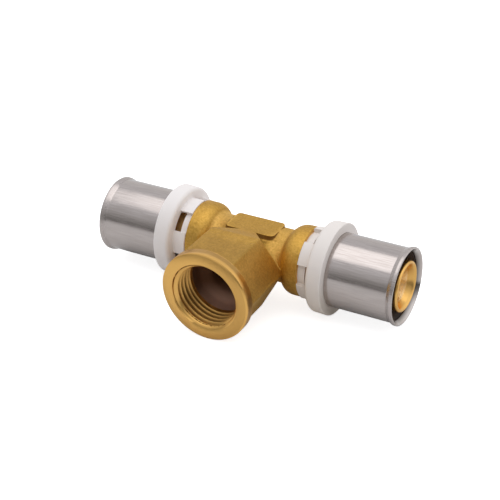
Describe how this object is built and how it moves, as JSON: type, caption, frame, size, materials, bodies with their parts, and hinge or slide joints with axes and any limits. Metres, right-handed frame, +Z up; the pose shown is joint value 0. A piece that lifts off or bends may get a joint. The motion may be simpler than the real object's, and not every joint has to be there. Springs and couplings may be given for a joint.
{
  "type": "press fitting tee with threaded branch",
  "caption": "Brass press tee: two in-line pipe ends with stainless crimp sleeves and clip rings, and a hexagonal side branch with a female pipe thread.",
  "frame": {"origin": "where the axis of the run and the axis of the branch cross, in the middle of the run bore", "axes": "X along the run, the branch opens along -Y, +Z up when the fitting lies on its side"},
  "size_m": [0.0988, 0.0453, 0.0282],
  "materials": {
    "forged_brass": "blasted forging with turned faces",
    "stainless_sleeve": "satin drawn tube",
    "white_plastic": "satin moulded",
    "seal_rubber": "smooth"
  },
  "bodies": {
    "root": {"tee_body": "forged_brass", "press_sleeve_left": "stainless_sleeve", "press_sleeve_right": "stainless_sleeve", "retaining_ring_left": "white_plastic", "retaining_ring_right": "white_plastic", "o_ring_left_inner": "seal_rubber", "o_ring_left_outer": "seal_rubber", "o_ring_right_inner": "seal_rubber", "o_ring_right_outer": "seal_rubber"}
  },
  "joints": []
}
